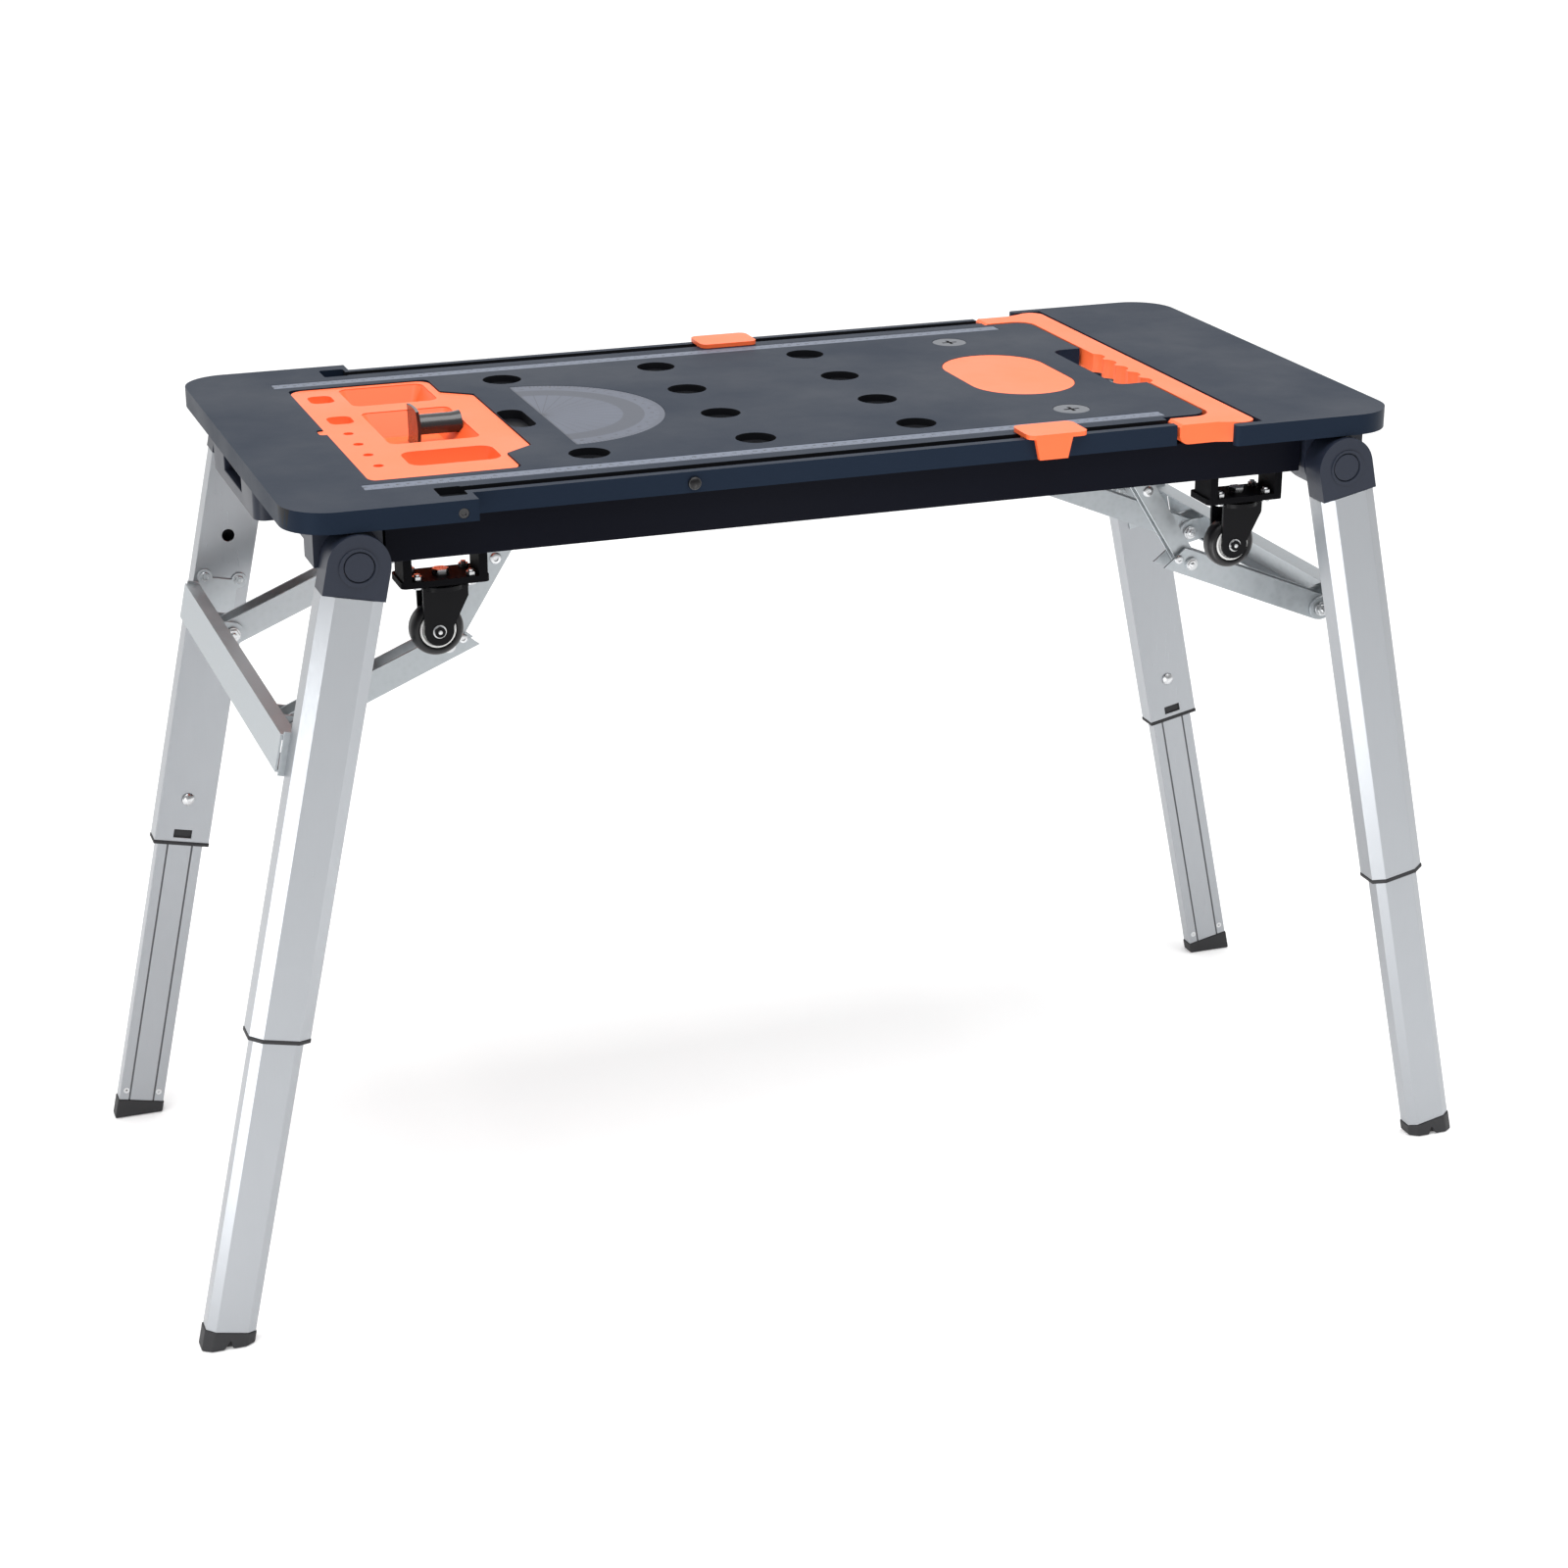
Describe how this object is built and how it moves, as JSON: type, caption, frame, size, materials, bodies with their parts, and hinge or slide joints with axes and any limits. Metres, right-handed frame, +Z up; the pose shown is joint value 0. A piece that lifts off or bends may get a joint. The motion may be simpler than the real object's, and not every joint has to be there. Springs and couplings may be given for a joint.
{
  "type": "sawhorse",
  "caption": "Work-support sawhorse: a slotted plastic deck with dog holes, a tool tray and sliding stops on two folding, telescoping aluminium leg frames, with casters beneath.",
  "frame": {"origin": "centre of the footprint, on the floor", "axes": "+Z up, +X along the long side of the top towards the carry handle, +Y towards the rear"},
  "size_m": [1.3522, 0.5552, 0.8204],
  "materials": {
    "deck_plastic": "moulded plastic with a fine grain",
    "frame_paint": "powder coat, satin",
    "joint_plastic": "moulded plastic, satin",
    "scale_plastic": "printed scale, satin",
    "orange_plastic": "moulded plastic, satin",
    "bolt_steel": "zinc plated",
    "zinc_steel": "zinc plated sheet",
    "leg_aluminium": "satin anodised",
    "foot_rubber": "matte",
    "fork_paint": "gloss black paint",
    "tyre_rubber": "smooth tread",
    "hub_plastic": "glossy white",
    "dog_plastic": "glossy"
  },
  "bodies": {
    "table": {"deck": "deck_plastic", "right_end_plate": "deck_plastic", "front_beam": "frame_paint", "rear_beam": "frame_paint", "left_end_beam": "deck_plastic", "right_end_beam": "deck_plastic", "cross_members": "frame_paint", "rulers": "scale_plastic", "protractor": "scale_plastic", "oval_insert": "orange_plastic", "deck_fasteners": "bolt_steel", "hinge_blocks": "joint_plastic", "hinge_pins": "bolt_steel", "caster_brackets": "frame_paint", "caster_bolts": "bolt_steel"},
    "left_legs": {"left_front_outer_leg": "leg_aluminium", "left_rear_outer_leg": "leg_aluminium", "left_knuckles": "joint_plastic", "left_collars": "joint_plastic", "left_crossbar": "zinc_steel", "left_crossbar_plates": "zinc_steel"},
    "left_upper_stays": {"left_upper_stays": "zinc_steel"},
    "left_lower_stays": {"left_lower_stays": "zinc_steel"},
    "left_front_inner_leg": {"left_front_inner_leg": "leg_aluminium", "left_front_foot": "foot_rubber"},
    "left_front_button": {"left_front_button": "bolt_steel"},
    "left_front_fork": {"left_front_fork": "fork_paint"},
    "left_front_wheel": {"left_front_tyre": "tyre_rubber", "left_front_hub": "hub_plastic"},
    "left_rear_inner_leg": {"left_rear_inner_leg": "leg_aluminium", "left_rear_foot": "foot_rubber"},
    "left_rear_button": {"left_rear_button": "bolt_steel"},
    "left_rear_fork": {"left_rear_fork": "fork_paint"},
    "left_rear_wheel": {"left_rear_tyre": "tyre_rubber", "left_rear_hub": "hub_plastic"},
    "right_legs": {"right_front_outer_leg": "leg_aluminium", "right_rear_outer_leg": "leg_aluminium", "right_knuckles": "joint_plastic", "right_collars": "joint_plastic", "right_crossbar": "zinc_steel", "right_crossbar_plates": "zinc_steel"},
    "right_upper_stays": {"right_upper_stays": "zinc_steel"},
    "right_lower_stays": {"right_lower_stays": "zinc_steel"},
    "right_front_inner_leg": {"right_front_inner_leg": "leg_aluminium", "right_front_foot": "foot_rubber"},
    "right_front_button": {"right_front_button": "bolt_steel"},
    "right_front_fork": {"right_front_fork": "fork_paint"},
    "right_front_wheel": {"right_front_tyre": "tyre_rubber", "right_front_hub": "hub_plastic"},
    "right_rear_inner_leg": {"right_rear_inner_leg": "leg_aluminium", "right_rear_foot": "foot_rubber"},
    "right_rear_button": {"right_rear_button": "bolt_steel"},
    "right_rear_fork": {"right_rear_fork": "fork_paint"},
    "right_rear_wheel": {"right_rear_tyre": "tyre_rubber", "right_rear_hub": "hub_plastic"},
    "front_stop": {"front_stop": "orange_plastic"},
    "rear_stop": {"rear_stop": "orange_plastic"},
    "carry_handle": {"carry_handle": "orange_plastic"},
    "tool_tray": {"tool_tray": "orange_plastic"},
    "bench_dog": {"bench_dog": "dog_plastic"}
  },
  "joints": [
    {"name": "left_leg_fold", "type": "hinge", "parent": "table", "child": "left_legs", "pos_m": [-0.49, 0, 0.7555], "axis": [0, -1, 0], "range_deg": [0, 102]},
    {"name": "left_upper_stay_swing", "type": "hinge", "parent": "table", "child": "left_upper_stays", "pos_m": [-0.3, 0, 0.772], "axis": [0, -1, 0], "range_deg": [0, 116]},
    {"name": "left_lower_stay_swing", "type": "hinge", "parent": "left_legs", "child": "left_lower_stays", "pos_m": [-0.53475, 0, 0.57383], "axis": [0, -1, 0], "range_deg": [-125, 0]},
    {"name": "left_front_leg_slide", "type": "slide", "parent": "left_legs", "child": "left_front_inner_leg", "axis": [0.2079, 0, 0.9781], "range_m": [0, 0.29]},
    {"name": "left_front_button_press", "type": "slide", "parent": "left_legs", "child": "left_front_button", "axis": [0, -1, 0], "range_m": [0, 0.002], "stiffness_N_per_m": 600},
    {"name": "left_front_caster_swivel", "type": "hinge", "parent": "table", "child": "left_front_fork", "pos_m": [-0.403, -0.215, 0.714], "axis": [0, 0, 1], "continuous": true},
    {"name": "left_front_wheel_spin", "type": "hinge", "parent": "left_front_fork", "child": "left_front_wheel", "pos_m": [-0.409, -0.215, 0.673], "axis": [0, 1, 0], "continuous": true},
    {"name": "left_rear_leg_slide", "type": "slide", "parent": "left_legs", "child": "left_rear_inner_leg", "axis": [0.2079, 0, 0.9781], "range_m": [0, 0.29]},
    {"name": "left_rear_button_press", "type": "slide", "parent": "left_legs", "child": "left_rear_button", "axis": [0, 1, 0], "range_m": [0, 0.002], "stiffness_N_per_m": 600},
    {"name": "left_rear_caster_swivel", "type": "hinge", "parent": "table", "child": "left_rear_fork", "pos_m": [-0.403, 0.215, 0.714], "axis": [0, 0, 1], "continuous": true},
    {"name": "left_rear_wheel_spin", "type": "hinge", "parent": "left_rear_fork", "child": "left_rear_wheel", "pos_m": [-0.409, 0.215, 0.673], "axis": [0, 1, 0], "continuous": true},
    {"name": "right_leg_fold", "type": "hinge", "parent": "table", "child": "right_legs", "pos_m": [0.49, 0, 0.7555], "axis": [0, 1, 0], "range_deg": [0, 102]},
    {"name": "right_upper_stay_swing", "type": "hinge", "parent": "table", "child": "right_upper_stays", "pos_m": [0.3, 0, 0.772], "axis": [0, 1, 0], "range_deg": [0, 116]},
    {"name": "right_lower_stay_swing", "type": "hinge", "parent": "right_legs", "child": "right_lower_stays", "pos_m": [0.53475, 0, 0.57383], "axis": [0, 1, 0], "range_deg": [-125, 0]},
    {"name": "right_front_leg_slide", "type": "slide", "parent": "right_legs", "child": "right_front_inner_leg", "axis": [-0.2079, 0, 0.9781], "range_m": [0, 0.29]},
    {"name": "right_front_button_press", "type": "slide", "parent": "right_legs", "child": "right_front_button", "axis": [0, -1, 0], "range_m": [0, 0.002], "stiffness_N_per_m": 600},
    {"name": "right_front_caster_swivel", "type": "hinge", "parent": "table", "child": "right_front_fork", "pos_m": [0.403, -0.215, 0.714], "axis": [0, 0, 1], "continuous": true},
    {"name": "right_front_wheel_spin", "type": "hinge", "parent": "right_front_fork", "child": "right_front_wheel", "pos_m": [0.397, -0.215, 0.673], "axis": [0, 1, 0], "continuous": true},
    {"name": "right_rear_leg_slide", "type": "slide", "parent": "right_legs", "child": "right_rear_inner_leg", "axis": [-0.2079, 0, 0.9781], "range_m": [0, 0.29]},
    {"name": "right_rear_button_press", "type": "slide", "parent": "right_legs", "child": "right_rear_button", "axis": [0, 1, 0], "range_m": [0, 0.002], "stiffness_N_per_m": 600},
    {"name": "right_rear_caster_swivel", "type": "hinge", "parent": "table", "child": "right_rear_fork", "pos_m": [0.403, 0.215, 0.714], "axis": [0, 0, 1], "continuous": true},
    {"name": "right_rear_wheel_spin", "type": "hinge", "parent": "right_rear_fork", "child": "right_rear_wheel", "pos_m": [0.397, 0.215, 0.673], "axis": [0, 1, 0], "continuous": true},
    {"name": "front_stop_slide", "type": "slide", "parent": "table", "child": "front_stop", "axis": [1, 0, 0], "range_m": [-0.53, 0.07]},
    {"name": "rear_stop_slide", "type": "slide", "parent": "table", "child": "rear_stop", "axis": [1, 0, 0], "range_m": [-0.36, 0.24]},
    {"name": "handle_lift", "type": "hinge", "parent": "table", "child": "carry_handle", "pos_m": [0.331, 0, 0.796], "axis": [0, -1, 0], "range_deg": [0, 90]},
    {"name": "tray_lift", "type": "slide", "parent": "table", "child": "tool_tray", "axis": [0, 0, 1], "range_m": [0, 0.08]},
    {"name": "dog_lift", "type": "slide", "parent": "tool_tray", "child": "bench_dog", "axis": [0, 0, 1], "range_m": [0, 0.06]}
  ],
  "couplings": [
    {"joint": "left_upper_stay_swing", "follows": "left_leg_fold", "ratio": 1.1258},
    {"joint": "left_lower_stay_swing", "follows": "left_leg_fold", "ratio": -1.2125},
    {"joint": "right_upper_stay_swing", "follows": "right_leg_fold", "ratio": 1.1258},
    {"joint": "right_lower_stay_swing", "follows": "right_leg_fold", "ratio": -1.2125}
  ]
}
